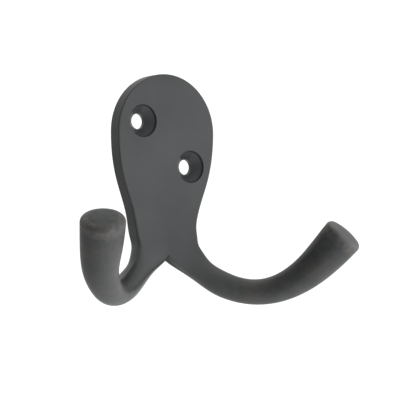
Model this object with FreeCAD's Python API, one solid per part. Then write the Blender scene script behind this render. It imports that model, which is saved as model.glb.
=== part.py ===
import FreeCAD, Part
import math
import os

# Double robe hook: one casting, a pear-shaped plate with two arms.
# Millimetres. The origin lies halfway between the two screw holes on the wall face.
# X is to the right as seen from the room, Y goes into the wall, Z is up.

Vector = FreeCAD.Vector
ACROSS = Vector(1, 0, 0)
INWARD = Vector(0, 1, 0)

# Plate: a round head that narrows to a waist
PLATE_THICKNESS = 3.8
HEAD_RADIUS = 15.6
HEAD_HEIGHT = 3.2
WAIST_HALF_WIDTH = 9.85
WAIST_HEIGHT = -24.8
FLANK_UPPER_PULL = 15.0
FLANK_LOWER_PULL = 10.0
EDGE_RADIUS = 0.4

# Screw holes, for a 4 mm countersunk wood screw
HOLE_SPACING = 19.5
HOLE_SLANT = 36.4
SCREW_DIAMETER = 4.0
SCREW_CLEARANCE = 0.2
COUNTERSINK_DIAMETER = 8.7
COUNTERSINK_ANGLE = 90.0
COUNTERSINK_STEP = 0.3

# The plate grows deeper toward the legs from this height down to the waist
DEEPENING_HEIGHT = -13.0
WAIST_DEPTH = 4.2
WAIST_EDGE_RADIUS = 0.6

# Arms: round bars that swell to a tip, the left one ground a little longer and on a slant
ARM_RADIUS = 3.42
TIP_RADIUS = 5.6
SWELL_START = 0.2
TIP_EDGE_RADIUS = 1.5
TIP_DOME_RADIUS = 16.0
TIP_SPARE = 4.0
RIGHT_ARM_SHORTER = 1.9
LEFT_ARM_LONGER = 1.0
LEFT_TIP_SLANT = 13.0
ROUND_CROWN = 22.5
CROTCH_OVERLAP = 3.0
GROUND_OFF = 0.4
LEG_THICKENING = 1.5

# Leg cross-sections below the waist: inner edge, outer edge, middle depth from the wall
LEG_CUTS = [
    (Vector(-2.5, 0, -26.5), Vector(9.95, 0, -24.7), 2.5),
    (Vector(0.4, 0, -30.9), Vector(10.0, 0, -26.95), 3.3),
    (Vector(4.45, 0, -33.85), Vector(10.95, 0, -29.0), 4.4),
    (Vector(8.3, 0, -36.6), Vector(12.7, 0, -31.6), 5.95),
]

# Middle line of the round part of an arm: where it leaves the leg, and from there to the tip
# its shares of the sideways spread, of the reach into the room and of the rise
ARM_START = Vector(14.0, -7.9, -36.7)
ARM_SPREAD = 25.6
ARM_REACH = 25.7
ARM_RISE = 15.2
ARM_SHARES = [
    (0.0, 0.0, 0.0),
    (0.148, 0.097, -0.125),
    (0.344, 0.23, -0.184),
    (0.504, 0.354, -0.132),
    (0.629, 0.467, -0.013),
    (0.754, 0.595, 0.191),
    (0.859, 0.755, 0.487),
    (1.0, 1.0, 1.0),
]
ARM_LINE = []
for sideways, outward, upward in ARM_SHARES:
    step = Vector(ARM_SPREAD * sideways, -ARM_REACH * outward, ARM_RISE * upward)
    ARM_LINE.append(ARM_START + step)

# The space to the right of the middle line and in front of the wall face
ROOM_SIDE = Part.makeBox(100, 100, 120, Vector(0, -100, -90))


def flank_point(t):
    """Point of the flank curve, from the widest line (t = 0) to the waist (t = 1)."""
    upper = HEAD_HEIGHT - FLANK_UPPER_PULL
    lower = WAIST_HEIGHT + FLANK_LOWER_PULL
    start = (1 - t) ** 3
    near_start = 3 * t * (1 - t) ** 2
    near_end = 3 * t * t * (1 - t)
    end = t ** 3
    x = HEAD_RADIUS * (start + near_start) + WAIST_HALF_WIDTH * (near_end + end)
    z = HEAD_HEIGHT * start + upper * near_start + lower * near_end + WAIST_HEIGHT * end
    return x, z


def section(centre, wide, deep, half_width, half_depth, front_corner, back_corner, crown):
    """Poles of a closed section: four crowned sides and four corners, each one cubic piece."""
    bend = math.radians(crown)
    lean = math.tan(bend / 2)
    corners = [back_corner, back_corner, front_corner, front_corner]
    signs = [(1, 1), (-1, 1), (-1, -1), (1, -1)]
    poles = []
    for quarter in range(4):
        facing = quarter * math.pi / 2
        angles = [facing - bend, facing + bend, facing + math.pi / 2 - bend]
        middles = [(quarter - 1) % 4, quarter, quarter]
        spots = []
        ways = []
        for angle, middle in zip(angles, middles):
            corner = corners[middle]
            spare_width = half_width - corner
            spare_depth = half_depth - corner
            x = signs[middle][0] * (spare_width - lean * spare_depth) / (1 - lean * lean)
            y = signs[middle][1] * (spare_depth - lean * spare_width) / (1 - lean * lean)
            x += corner * math.cos(angle)
            y += corner * math.sin(angle)
            spots.append(centre + wide * x + deep * y)
            ways.append(deep * math.cos(angle) - wide * math.sin(angle))
        side_pull = 2 / 3 * (spots[1] - spots[0]).Length / (1 + math.cos(bend))
        corner_pull = 4 / 3 * corner * math.tan((math.pi / 2 - 2 * bend) / 4)
        poles += [spots[0], spots[0] + ways[0] * side_pull, spots[1] - ways[1] * side_pull]
        poles += [spots[1], spots[1] + ways[1] * corner_pull, spots[2] - ways[2] * corner_pull]
    return poles


def section_face(poles):
    """Flat face inside a section, with straight edges where its sides have no crown."""
    edges = []
    for start in range(0, len(poles), 3):
        piece = [poles[(start + offset) % len(poles)] for offset in range(4)]
        chord = piece[3] - piece[0]
        if (piece[1] - piece[0]).cross(chord).Length < 1e-6:
            edges.append(Part.makeLine(piece[0], piece[3]))
        else:
            curve = Part.BezierCurve()
            curve.setPoles(piece)
            edges.append(curve.toShape())
    return Part.Face(Part.Wire(edges))


def loft(sections, distances):
    """Solid through the sections: eight smooth strips side by side, and two flat ends."""
    count = len(sections[0])
    columns = []
    for index in range(count):
        points = [poles[index] for poles in sections]
        tangents = [Vector(0, 0, -1)] * len(points)
        flags = [True] + [False] * (len(points) - 1)
        curve = Part.BSplineCurve()
        curve.interpolate(
            Points=points, Parameters=distances, Tangents=tangents, TangentFlags=flags, Scale=False)
        columns.append(curve)
    faces = []
    for start in range(0, count, 3):
        strip = [columns[(start + offset) % count] for offset in range(4)]
        net = [list(row) for row in zip(*[curve.getPoles() for curve in strip])]
        knots = strip[0].getKnots()
        counts = strip[0].getMultiplicities()
        surface = Part.BSplineSurface()
        surface.buildFromPolesMultsKnots(net, counts, (4, 4), knots, (0, 1), False, False, 3, 3)
        faces.append(surface.toShape())
    faces += [section_face(sections[0]), section_face(sections[-1])]
    shell = Part.makeShell(faces)
    shell.sewShape()
    return Part.makeSolid(shell)


def plate_section(half_width, z, depth, corner):
    """Section of the right half of the plate, run past the middle line and past the wall face."""
    centre = Vector((half_width - CROTCH_OVERLAP) / 2, (GROUND_OFF - depth) / 2, z)
    half_depth = (GROUND_OFF + depth) / 2
    half_span = (half_width + CROTCH_OVERLAP) / 2
    return centre, section(centre, ACROSS, INWARD, half_span, half_depth, corner, corner, 0.0)


def head():
    """The plate above the middle of its round head: the plate's section swung half a turn."""
    profile = section_face(plate_section(HEAD_RADIUS, HEAD_HEIGHT, PLATE_THICKNESS, EDGE_RADIUS)[1])
    profile = profile.common(ROOM_SIDE).Faces[0]
    return profile.revolve(Vector(0, 0, HEAD_HEIGHT), INWARD, -180)


def leg_and_arm(shorter, longer, slant):
    """Right flank, leg and arm as one loft from the head to the tip."""
    sections = []
    middles = []
    for t in (0.0, 0.12, 0.3, 0.45, 0.6, 0.75, 0.88):
        x, z = flank_point(t)
        fade = max(0.0, (DEEPENING_HEIGHT - z) / (DEEPENING_HEIGHT - WAIST_HEIGHT))
        depth = PLATE_THICKNESS + (WAIST_DEPTH - PLATE_THICKNESS) * fade ** 1.5
        corner = EDGE_RADIUS + (WAIST_EDGE_RADIUS - EDGE_RADIUS) * fade
        centre, poles = plate_section(x, z, depth, corner)
        middles.append(centre)
        sections.append(poles)
    flat_half_depth = (GROUND_OFF + depth) / 2
    flat_count = len(middles)

    for inner, outer, depth in LEG_CUTS:
        middles.append((inner + outer) * 0.5 + Vector(0, -depth, 0))
    middles += ARM_LINE
    line = Part.BSplineCurve()
    line.interpolate(Points=middles[flat_count - 1:])

    for index, (inner, outer, depth) in enumerate(LEG_CUTS):
        middle = middles[flat_count + index]
        wide = (outer - inner).normalize()
        along = line.tangent(line.parameter(middle))[0]
        share = (index + 1) / (len(LEG_CUTS) + 1)
        along = along - INWARD * along.dot(INWARD) * (1 - share)
        along = (along - wide * along.dot(wide)).normalize()
        half_depth = flat_half_depth + (ARM_RADIUS - flat_half_depth) * share ** LEG_THICKENING
        rounding = ARM_RADIUS - WAIST_EDGE_RADIUS
        front_corner = WAIST_EDGE_RADIUS + rounding * share ** 2
        back_corner = WAIST_EDGE_RADIUS + rounding * share * share * (3 - 2 * share)
        crown = ROUND_CROWN * share ** 2
        half_width = (outer - inner).Length / 2
        deep = wide.cross(along)
        sections.append(section(
            middle, wide, deep, half_width, half_depth, front_corner, back_corner, crown))

    arm_start = line.parameter(ARM_LINE[0])
    arm_length = line.length(arm_start, line.LastParameter)
    for middle in ARM_LINE:
        spot = line.parameter(middle)
        along = line.tangent(spot)[0]
        wide = along.cross(INWARD).normalize()
        share = line.length(arm_start, spot) / arm_length
        swell = max(0.0, (share - SWELL_START) / (1 - SWELL_START))
        radius = ARM_RADIUS + (TIP_RADIUS - ARM_RADIUS) * swell * swell * (3 - 2 * swell)
        deep = wide.cross(along)
        sections.append(section(middle, wide, deep, radius, radius, radius, radius, ROUND_CROWN))
    middles.append(middles[-1] + along * TIP_SPARE)
    sections.append([pole + along * TIP_SPARE for pole in sections[-1]])

    distances = [0.0]
    for before, after in zip(middles, middles[1:]):
        distances.append(distances[-1] + (after - before).Length)
    arm = loft(sections, distances)
    end = line.parameterAtDistance(line.length() - shorter, line.FirstParameter)
    along = line.tangent(end)[0]
    upward = FreeCAD.Rotation(along.cross(Vector(0, 0, 1)), slant).multVec(along)
    arm = round_tip(arm, line.value(end) + along * longer, upward)
    return arm.common(ROOM_SIDE)


def round_tip(arm, apex, direction):
    """Shallow dome on the arm's end and a rounded edge about it."""
    ball = Part.makeSphere(TIP_DOME_RADIUS)
    seam_away = FreeCAD.Rotation(ACROSS, direction * -1)
    ball.Placement = FreeCAD.Placement(apex - direction * TIP_DOME_RADIUS, seam_away)
    drum_start = apex - direction * TIP_RADIUS / 2
    drum = Part.makeCylinder(TIP_RADIUS * 2, TIP_RADIUS * 2, drum_start, direction)
    arm = arm.cut(drum.cut(ball))
    rim = []
    for edge in arm.Edges:
        ends = [vertex.Point - apex for vertex in edge.Vertexes]
        level = max(abs(end.dot(direction)) for end in ends) < TIP_RADIUS / 2
        near = max(end.Length for end in ends) < TIP_RADIUS * 1.3
        if level and near:
            rim.append(edge)
    return arm.makeFillet(TIP_EDGE_RADIUS, rim)


def screw_hole(x, z):
    """Clearance hole, ninety-degree countersink and a short straight step at its mouth."""
    hole_radius = (SCREW_DIAMETER + SCREW_CLEARANCE) / 2
    mouth_radius = COUNTERSINK_DIAMETER / 2
    cone_depth = (mouth_radius - hole_radius) / math.tan(math.radians(COUNTERSINK_ANGLE / 2))
    front = Vector(x, -PLATE_THICKNESS, z)
    step = Part.makeCylinder(mouth_radius, COUNTERSINK_STEP + 1, front - INWARD, INWARD)
    cone_start = front + INWARD * COUNTERSINK_STEP
    cone = Part.makeCone(mouth_radius, hole_radius, cone_depth, cone_start, INWARD)
    through = Part.makeCylinder(hole_radius, PLATE_THICKNESS + 2, front - INWARD, INWARD)
    return step.fuse([cone, through])


right_arm = leg_and_arm(RIGHT_ARM_SHORTER, 0.0, 0.0)
left_arm = leg_and_arm(0.0, LEFT_ARM_LONGER, LEFT_TIP_SLANT)
left_arm = left_arm.mirror(Vector(0, 0, 0), Vector(1, 0, 0))
hook = head().fuse([right_arm, left_arm])

hole_x = HOLE_SPACING / 2 * math.cos(math.radians(HOLE_SLANT))
hole_z = HOLE_SPACING / 2 * math.sin(math.radians(HOLE_SLANT))
hook = hook.cut([screw_hole(-hole_x, hole_z), screw_hole(hole_x, -hole_z)])
hook = hook.removeSplitter()

box = hook.BoundBox
print("solids", len(hook.Solids), "faces", len(hook.Faces), "valid", hook.isValid())
print("size", round(box.XLength, 2), round(box.YLength, 2), round(box.ZLength, 2))
print("volume", round(hook.Volume, 1))

os.makedirs("parts", exist_ok=True)
hook.exportStep("parts/double_robe_hook.step")
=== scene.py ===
# %% [markdown]
# # A dark satin double robe hook
# The hook is one casting: a pear-shaped plate that splits into two arms.
# Its solid comes from the CAD frame and already has the right shape, so this
# lesson gives it its finish, its light and its camera.

# %% Load the frame
import math
import bpy
from mathutils import Euler, Matrix, Vector

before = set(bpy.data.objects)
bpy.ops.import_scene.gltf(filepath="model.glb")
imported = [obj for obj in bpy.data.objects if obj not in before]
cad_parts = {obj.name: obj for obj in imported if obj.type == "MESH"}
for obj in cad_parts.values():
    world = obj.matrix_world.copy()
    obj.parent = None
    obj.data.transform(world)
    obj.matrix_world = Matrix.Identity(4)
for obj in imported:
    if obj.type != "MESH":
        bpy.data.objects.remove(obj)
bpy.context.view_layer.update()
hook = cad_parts["double_robe_hook"]

# %% [markdown]
# ## Words for shader maths
# A finish is a small sum: so much cloud, so much grain, a darker countersink.
# Its nodes could be laid and linked one by one. A socket wrapped in a class can
# be added and multiplied like a number instead, and each sign then lays a Math
# node. Every other node comes from one method, and the short methods after it
# only name the nodes that this finish needs most.

# %% A socket that works like a number
class Wire:
    """A node's output that takes part in sums."""

    def __init__(self, finish, socket):
        self.finish = finish
        self.socket = socket

    def combine(self, operation, first, second):
        return self.finish.node("ShaderNodeMath", {"operation": operation}, {0: first, 1: second})

    def __add__(self, other):
        return self.combine("ADD", self, other)

    def __radd__(self, other):
        return self.combine("ADD", other, self)

    def __sub__(self, other):
        return self.combine("SUBTRACT", self, other)

    def __rsub__(self, other):
        return self.combine("SUBTRACT", other, self)

    def __mul__(self, other):
        return self.combine("MULTIPLY", self, other)

    def __rmul__(self, other):
        return self.combine("MULTIPLY", other, self)

    def __pow__(self, other):
        return self.combine("POWER", self, other)


# %% One method for every node
class Finish:
    """The nodes of one material or of the world."""

    def __init__(self, owner):
        owner.use_nodes = True
        self.tree = owner.node_tree
        self.tree.nodes.clear()

    def node(self, kind, settings, inputs, output=0):
        made = self.tree.nodes.new(kind)
        for name, value in settings.items():
            setattr(made, name, value)
        for key, value in inputs.items():
            if isinstance(value, Wire):
                self.tree.links.new(value.socket, made.inputs[key])
            else:
                made.inputs[key].default_value = value
        return Wire(self, made.outputs[output]) if made.outputs else made

    def parts(self, place):
        return [self.node("ShaderNodeSeparateXYZ", {}, {0: place}, axis) for axis in "XYZ"]

    def vector(self, operation, first, second, output="Vector"):
        inputs = {0: first, 1: second}
        return self.node("ShaderNodeVectorMath", {"operation": operation}, inputs, output)

    def distance(self, place, point):
        return self.vector("DISTANCE", place, point, "Value")

    def along(self, place, axis):
        return self.vector("DOT_PRODUCT", place, axis, "Value")

    def noise(self, place, scale, detail, rough=0.5):
        inputs = {"Vector": place, "Scale": scale, "Detail": detail, "Roughness": rough}
        return self.node("ShaderNodeTexNoise", {}, inputs)

    def step(self, value, start, end):
        inputs = {"Value": value, "From Min": start, "From Max": end}
        return self.node("ShaderNodeMapRange", {"interpolation_type": "SMOOTHSTEP"}, inputs)

    def mix(self, share, first, second):
        # A Mix node's inputs 6 and 7 are its two colours, and its output 2 is their mix.
        inputs = {0: share, 6: first, 7: second}
        return self.node("ShaderNodeMix", {"data_type": "RGBA"}, inputs, 2)


print("shader words ready")

# %% [markdown]
# ## Places on the hook
# The finish follows the hook's form: it differs on the plate, in the holes and
# at the tips. It could be painted on a UV map, but a casting has no seam to
# unfold it by. The object's own coordinates need none, and turned into
# millimetres they make every size below one that a ruler could measure.

# %% Places in millimetres
MILLIMETRES_PER_METRE = 1000.0
dark_satin = bpy.data.materials.new("dark_satin_metal")
satin = Finish(dark_satin)
metres = satin.node("ShaderNodeTexCoord", {}, {}, "Object")
scaling = {0: metres, "Scale": MILLIMETRES_PER_METRE}
place = satin.node("ShaderNodeVectorMath", {"operation": "SCALE"}, scaling)
across, depth, height = satin.parts(place)
print("finish laid out in millimetres on", hook.name)

# %% [markdown]
# ## The countersinks
# A countersink is cut by a turning tool, so it has fine rings about the hole's
# middle. Shade is painted into it: a darker grey over the whole countersink, and
# a painted shadow, a dark line, near its mouth. The rings could be modelled, but
# they are finer than the mesh, so the distance from the hole's axis gives them as
# relief, and gives the masks as well. A pair of numbers such as MOUTH says where
# a mask starts and where it is full.

# %% Rings and masks of the countersinks
HOLE_SPACING = 19.5
HOLE_SLANT = math.radians(36.4)
COUNTERSINK_RADIUS = 4.35
MOUTH = (COUNTERSINK_RADIUS + 0.06, COUNTERSINK_RADIUS - 0.02)
# Where the painted shadow near each countersink's mouth starts and where it is full.
MOUTH_SHADOW = (COUNTERSINK_RADIUS - 0.4, COUNTERSINK_RADIUS - 0.15)
OFF_THE_WALL = (-0.05, -0.35)
RING_PITCH = 0.36
hole_x = HOLE_SPACING / 2 * math.cos(HOLE_SLANT)
hole_z = HOLE_SPACING / 2 * math.sin(HOLE_SLANT)
off_the_wall = satin.step(depth, *OFF_THE_WALL)
rings = 0.0
sunk = 0.0
mouth_shadow = 0.0
for x, z in [(-hole_x, hole_z), (hole_x, -hole_z)]:
    radius = ((across - x) ** 2.0 + (height - z) ** 2.0) ** 0.5
    inside = satin.step(radius, *MOUTH) * off_the_wall
    turns = radius * (2 * math.pi / RING_PITCH)
    rings = rings + satin.node("ShaderNodeMath", {"operation": "SINE"}, {0: turns}) * inside
    # The countersink's mask; its coat of darker grey below is painted shade.
    sunk = sunk + inside
    # A painted shadow: the dark line near the countersink's mouth.
    mouth_shadow = mouth_shadow + inside * satin.step(radius, *MOUTH_SHADOW)
    print("countersink at", round(x, 2), round(z, 2))

# %% [markdown]
# ## The arms and the tips
# The plate is smooth and even. The arms look as if they were ground by hand
# before they were coated: they are a little rougher and mottled, most of all at
# the tips, whose rims look rubbed and also carry a painted highlight. The flat
# wall side is left rough, as cast.
# Separate materials would meet in a hard line, so masks blend the surfaces:
# depth from the wall gives the arms and the wall side, and distance from the
# middle of each tip gives its end and the ring of its rim.

# %% Masks for the arms, the wall side and the tips
LEFT_TIP = (-40.0, -34.2, -20.8)
RIGHT_TIP = (38.7, -32.0, -23.4)
ARMS = (-6.0, -16.0)
WALL_SIDE = (-0.12, -0.02)
RIM_INNER = (3.2, 4.6)
RIM_OUTER = (6.8, 5.4)
NEAR_TIP = (11.0, 5.0)
arms = satin.step(depth, *ARMS)
as_cast = satin.step(depth, *WALL_SIDE)
rims = 0.0
ends = 0.0
for tip in (LEFT_TIP, RIGHT_TIP):
    reach = satin.distance(place, tip)
    rims = rims + satin.step(reach, *RIM_INNER) * satin.step(reach, *RIM_OUTER)
    ends = ends + satin.step(reach, *NEAR_TIP)
    print("tip at", tip)

# %% [markdown]
# ## The plate's edge and the shade under the crotch
# The rounded front edge of the plate looks a little worn. Under the crotch,
# where the legs part, shade is painted: the metal is darkened there. Both
# could be painted by hand, but they follow from the form. The edge is found by
# how far it lies behind the front face, which comes forward a little toward the
# waist, and the crotch by a ball about one spot, kept close to the wall.

# %% Masks for the edge and the crotch
FRONT = 3.8
WAIST = (-15.0, -26.0)
WAIST_FORWARD = 0.4
EDGE_START = (0.03, 0.12)
EDGE_END = (0.50, 0.30)
CROTCH = (1.5, -2.8, -33.0)
CROTCH_BALL = (9.5, 4.0)
NEAR_THE_WALL = (-5.0, -4.0)
behind = depth + FRONT + satin.step(height, *WAIST) * WAIST_FORWARD
edge = satin.step(behind, *EDGE_START) * satin.step(behind, *EDGE_END) * (1 - sunk)
from_crotch = satin.distance(place, CROTCH)
# Painted shade under the crotch, where the legs part.
crotch_shade = satin.step(depth, *NEAR_THE_WALL) * satin.step(from_crotch, *CROTCH_BALL)
print("edge", FRONT, "mm off the wall, crotch at", CROTCH)

# %% [markdown]
# ## Grain, cloud and mottle
# The coat is never quite even. A picture of such a coat could be wrapped round
# the hook, but noise in the hook's own space has no seams. There is a fine
# satin grain, a soft cloud over centimetres, a mottle and a speck of about a
# millimetre, a wave of a few millimetres for the ground tips, and patches of
# like size where warmer tones come through. A scale is in grains per millimetre.

# %% Noise of six sizes
PATCH_EDGES = (0.42, 0.66)
grain = satin.noise(place, scale=4.0, detail=2.0)
cloud = satin.noise(place, scale=0.07, detail=2.0)
mottle = satin.noise(place, scale=0.7, detail=4.0, rough=0.6)
speck = satin.noise(place, scale=0.95, detail=2.0, rough=0.55)
wave = satin.noise(place, scale=0.33, detail=1.0)
patches = satin.step(satin.noise(place, scale=0.22, detail=3.0), *PATCH_EDGES)
print("noise laid,", len(satin.tree.nodes), "nodes so far")

# %% [markdown]
# ## Wear and painted highlights at the tips
# The rims of both tips look rubbed, paler in specks and with a touch of bronze
# in patches, with a painted highlight along them as well. The end of the right
# tip is paler all over, which is a painted highlight. A picture of the wear could
# be painted. Here the noise breaks up the mask of the rims, and the highlighted
# end is all that lies beyond a plane across the right tip, so its place along the
# tip's axis finds it.

# %% Masks for the wear and the painted highlights
RIGHT_TIP_AXIS = (0.362, -0.568, 0.739)
RIGHT_SIDE = (20.0, 25.0)
END_HIGHLIGHT_PLANE = (-1.4, -0.3)
END_HIGHLIGHT_BASE = 0.55
END_HIGHLIGHT_MOTTLE = 0.9
SPECK_EDGES = (0.35, 0.65)
RIM_HIGHLIGHT_BASE = 0.45
SCUFF_SPECK = 0.55
bronzed = rims * patches
# Pale along the rims: scuffs in specks, and a painted highlight in the even part.
scuffs_and_rim_highlight = rims * (RIM_HIGHLIGHT_BASE + satin.step(speck, *SPECK_EDGES) * SCUFF_SPECK)
along_tip = satin.along(satin.vector("SUBTRACT", place, RIGHT_TIP), RIGHT_TIP_AXIS)
# The end of the right tip, which gets a painted highlight.
right_end = satin.step(across, *RIGHT_SIDE) * satin.step(along_tip, *END_HIGHLIGHT_PLANE)
painted_end_highlight = right_end * (END_HIGHLIGHT_BASE + mottle * END_HIGHLIGHT_MOTTLE)
print("worn end along", RIGHT_TIP_AXIS)

# %% [markdown]
# ## Colour
# The colour stays near one dark neutral grey, which the cloud and the mottle
# move a little. The other greys could each be a material. They are laid over
# the first in turn instead, as thin coats are: a warmer one on the arms and the
# plate's worn edge, darker ones for painted shade in the countersinks and under
# the crotch, and a pale one on the rims for scuffs and a painted highlight, with
# a little bronze, and on the end of the right tip as a painted highlight.

# %% Tone between two greys
DARK_GREY = (0.065, 0.067, 0.068, 1)
LIGHT_GREY = (0.091, 0.092, 0.094, 1)
NOISE_MIDDLE = 0.5
SPECK_MIDDLE = 0.42
CLOUD_TONE = 0.6
TONE_BASE = 0.2
TONE_RANGE = (0.2, 0.8)
ARM_DARKER = 0.15
ARM_MOTTLE = 0.8
CAST_MOTTLE = 0.9
END_SPECK = 0.6
even = cloud * CLOUD_TONE + TONE_BASE - arms * ARM_DARKER
mottled = (mottle - NOISE_MIDDLE) * (arms * ARM_MOTTLE + as_cast * CAST_MOTTLE)
specked = (speck - SPECK_MIDDLE) * ends * END_SPECK
tone = satin.step(even + mottled + specked, *TONE_RANGE)
colour = satin.mix(tone, DARK_GREY, LIGHT_GREY)
print("base colour from", DARK_GREY, "to", LIGHT_GREY)

# %% Coats over the base colour
WARM_GREY = (0.108, 0.100, 0.090, 1)
# The sunk grey and the line grey are painted shade; the pale grey is for scuffs and painted
# highlights.
SUNK_SHADE_GREY = (0.062, 0.064, 0.067, 1)
PAINTED_SHADE_GREY = (0.020, 0.021, 0.022, 1)
PALE_SCUFF_AND_HIGHLIGHT_GREY = (0.170, 0.170, 0.168, 1)
BRONZE = (0.155, 0.130, 0.105, 1)
ARM_WARMTH = 0.32
TIP_COOLER = 0.85
SUNK_SHADE_SHARE = 0.75
EDGE_BASE = 0.25
EDGE_PATCHES = 0.35
CROTCH_SHADE_SHARE = 0.85
SCUFF_AND_HIGHLIGHT_SHARE = 0.50
BRONZE_SHARE = 0.30
END_HIGHLIGHT_SHARE = 0.6
coats = [
    (patches * arms * (1 - ends * TIP_COOLER) * ARM_WARMTH, WARM_GREY),
    # Painted shade in the countersinks, and a painted shadow at their mouths.
    (sunk * SUNK_SHADE_SHARE, SUNK_SHADE_GREY),
    (mouth_shadow, PAINTED_SHADE_GREY),
    (edge * (EDGE_BASE + patches * EDGE_PATCHES), WARM_GREY),
    # Painted shade under the crotch.
    (crotch_shade * CROTCH_SHADE_SHARE, PAINTED_SHADE_GREY),
    # Scuffs and a painted highlight on the rims of the tips.
    (scuffs_and_rim_highlight * SCUFF_AND_HIGHLIGHT_SHARE, PALE_SCUFF_AND_HIGHLIGHT_GREY),
    (bronzed * BRONZE_SHARE, BRONZE),
    # Painted highlight on the end of the right tip.
    (painted_end_highlight * END_HIGHLIGHT_SHARE, PALE_SCUFF_AND_HIGHLIGHT_GREY),
]
for share, coat in coats:
    colour = satin.mix(share, colour, coat)
print(len(coats), "coats over the base colour")

# %% [markdown]
# ## Roughness and relief
# Satin lies between matt and polished: it mirrors the studio, but softly. The
# arms are a little rougher than the plate, the tips more so, and the wall side
# is rougher than the plate too. The grain, the mottle, the turned rings and the
# ground tips also stand up, by a quarter of a millimetre at most. They could be
# cut into the mesh, but a Bump node shows relief as low as that with no change
# to the solid.

# %% Roughness and metal
SATIN_ROUGH = 0.40
CLOUD_ROUGH = 0.10
MOTTLE_ROUGH = 0.22
ARM_ROUGHER = 0.05
END_ROUGHER = 0.10
CAST_ROUGHER = 0.15
METALLIC = 0.85
SUNK_DULLER = 0.45
uneven = (cloud - NOISE_MIDDLE) * CLOUD_ROUGH + (mottle - NOISE_MIDDLE) * arms * MOTTLE_ROUGH
rough = SATIN_ROUGH + uneven + arms * ARM_ROUGHER + ends * END_ROUGHER + as_cast * CAST_ROUGHER
metal = METALLIC - sunk * SUNK_DULLER
print("roughness about", SATIN_ROUGH, "and metallic", METALLIC)

# %% Relief in millimetres
GRAIN_HEIGHT = 0.005
ARM_MOTTLE_HEIGHT = 0.025
CAST_MOTTLE_HEIGHT = 0.04
RING_HEIGHT = 0.010
WAVE_HEIGHT = 0.25
dimples = mottle * (arms * ARM_MOTTLE_HEIGHT + as_cast * CAST_MOTTLE_HEIGHT)
relief = grain * GRAIN_HEIGHT + dimples + rings * RING_HEIGHT + wave * ends * WAVE_HEIGHT
raised = {"Strength": 1.0, "Distance": 1 / MILLIMETRES_PER_METRE, "Height": relief}
bump = satin.node("ShaderNodeBump", {}, raised, "Normal")
print("relief up to", WAVE_HEIGHT, "mm at the tips")

# %% [markdown]
# ## The surface
# The coat looks like dark metal that mirrors less where it is seen at a slant
# than bare metal would. A mix of a glossy and a matt shader could give that. One
# Principled shader is enough, because it has a socket for each part of the
# finish, and its tint weakens the slanting mirror.

# %% The satin surface
MIRROR_TINT = (0.70, 0.70, 0.70, 1)
shader = satin.node(
    "ShaderNodeBsdfPrincipled", {},
    {"Base Color": colour, "Roughness": rough, "Metallic": metal, "Normal": bump,
     "Specular Tint": MIRROR_TINT}, "BSDF")
satin.node("ShaderNodeOutputMaterial", {}, {"Surface": shader})
hook.data.materials.clear()
hook.data.materials.append(dark_satin)
print("satin finish on", hook.name, "with", len(satin.tree.nodes), "nodes")

# %% [markdown]
# ## The white studio
# The hook is shown on plain white, and dark metal shows mostly what it mirrors.
# The photograph's shading says that its studio is white behind the hook and on
# the right, and falls off to a light grey on the left. A ring of lamps could do
# that, but each would show in the metal. A world that is dim on one side and
# bright on the other has no edges to mirror. The camera and the metal see the
# same studio, so the light on the hook and its background agree.

# %% World
WHITE = (1, 1, 1, 1)
DIM = 0.34
BRIGHT = 1.12
BRIGHT_SIDE = (0.97, 0.16, -0.15)
STUDIO_FALL = (-1.15, 0.25)


def graded_light(finish, kind, way, bright_side, fall, levels):
    """Light that grows from a dim level to a bright one toward one side."""
    share = finish.step(finish.along(way, bright_side), *fall)
    dim, bright = [finish.node(kind, {}, {"Color": WHITE, "Strength": level}) for level in levels]
    return finish.node("ShaderNodeMixShader", {}, {0: share, 1: dim, 2: bright})


studio = bpy.data.worlds.new("white_studio")
bpy.context.scene.world = studio
air = Finish(studio)
way = air.node("ShaderNodeTexCoord", {}, {}, "Generated")
light = graded_light(air, "ShaderNodeBackground", way, BRIGHT_SIDE, STUDIO_FALL, (DIM, BRIGHT))
air.node("ShaderNodeOutputWorld", {}, {"Surface": light})
print("studio from", DIM, "to", BRIGHT)

# %% [markdown]
# ## The floor
# A pale floor lies well below the hook. It could be a plain matt sheet, but
# then it would be darker than the studio and show a line where they meet. So
# besides taking a soft shadow from the lamps it glows, with the same fall of
# light from right to left as the studio, as seen from the hook. It is brightest
# low on the right, where the arms mirror it. MATT_SHARE is about what the matt
# floor gives back by itself, so the glow leaves that much out.

# %% Floor
FLOOR_HEIGHT = -0.5
FLOOR_SIZE = 30.0
FLOOR_BRIGHT = 1.78
FLOOR_BRIGHT_SIDE = (0.97, -0.15, -0.15)
FLOOR_FALL = (-1.045, 1.015)
MATT_GREY = (0.25, 0.25, 0.25, 1)
MATT_SHARE = 0.22
GLOW = (DIM - MATT_SHARE, FLOOR_BRIGHT - MATT_SHARE)
bpy.ops.object.select_all(action="DESELECT")
bpy.ops.mesh.primitive_plane_add(size=FLOOR_SIZE, location=(0, 0, FLOOR_HEIGHT))
floor = bpy.context.object
floor.name = "pale_floor"
pale = bpy.data.materials.new("pale_floor")
ground = Finish(pale)
on_floor = ground.node("ShaderNodeTexCoord", {}, {}, "Object")
below = ground.vector("ADD", on_floor, (0, 0, FLOOR_HEIGHT))
way = ground.node("ShaderNodeVectorMath", {"operation": "NORMALIZE"}, {0: below})
glow = graded_light(ground, "ShaderNodeEmission", way, FLOOR_BRIGHT_SIDE, FLOOR_FALL, GLOW)
matt = ground.node("ShaderNodeBsdfDiffuse", {}, {"Color": MATT_GREY})
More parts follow.
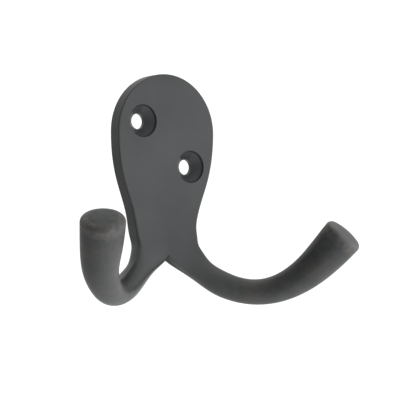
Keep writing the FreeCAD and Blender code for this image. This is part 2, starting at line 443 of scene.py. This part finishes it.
both = ground.node("ShaderNodeAddShader", {}, {0: matt, 1: glow})
ground.node("ShaderNodeOutputMaterial", {}, {"Surface": both})
floor.data.materials.append(pale)
print("floor at", floor.location.z)

# %% [markdown]
# ## Lamps
# The studio's own light is very even. Two weak soft boxes give it a direction,
# and stand where the photograph's shading says: a large one on the right, a
# little in front of the hook, and a smaller one above and behind it. Sun or spot
# lamps would be harder than the photograph's shading, so area lamps are used.

# %% Soft boxes
LAMP_AIM = Vector((0, 0, -0.01))


def soft_box(name, spot, size, power):
    lamp = bpy.data.lights.new(name, "AREA")
    lamp.size = size
    lamp.energy = power
    box = bpy.data.objects.new(name, lamp)
    box.location = spot
    facing = (LAMP_AIM - Vector(spot)).to_track_quat("-Z", "Y")
    box.rotation_euler = facing.to_euler()
    bpy.context.scene.collection.objects.link(box)
    print(name, power, "W")


soft_box("key_box", spot=(1.1, -0.45, 0.15), size=0.8, power=1.0)
soft_box("top_box", spot=(0.35, 0.45, 1.0), size=0.6, power=0.8)

# %% [markdown]
# ## Camera
# The camera stands in front of the hook, to its left and a little below its
# plate. It could be set by eye, but the view was worked out from the outline of
# the plate and the arms and from the two holes, so the hook lies as it does in
# the photograph.

# %% Camera at the photograph's view
CAMERA_SPOT = Vector((-0.25097, -0.35895, -0.03278))
CAMERA_TILT = math.radians(92.348)
CAMERA_ROLL = math.radians(-0.512)
CAMERA_TURN = math.radians(-36.444)
FOCAL_LENGTH = 146.3
SENSOR_WIDTH = 36.0
NEAREST_SEEN = 0.01
lens = bpy.data.cameras.new("view")
lens.lens = FOCAL_LENGTH
lens.sensor_width = SENSOR_WIDTH
lens.clip_start = NEAREST_SEEN
camera = bpy.data.objects.new("view", lens)
facing = Euler((CAMERA_TILT, CAMERA_ROLL, CAMERA_TURN))
camera.matrix_world = Matrix.LocRotScale(CAMERA_SPOT, facing, None)
bpy.context.scene.collection.objects.link(camera)
bpy.context.scene.camera = camera
bpy.context.scene.view_settings.view_transform = "Standard"
print("camera at", tuple(CAMERA_SPOT))
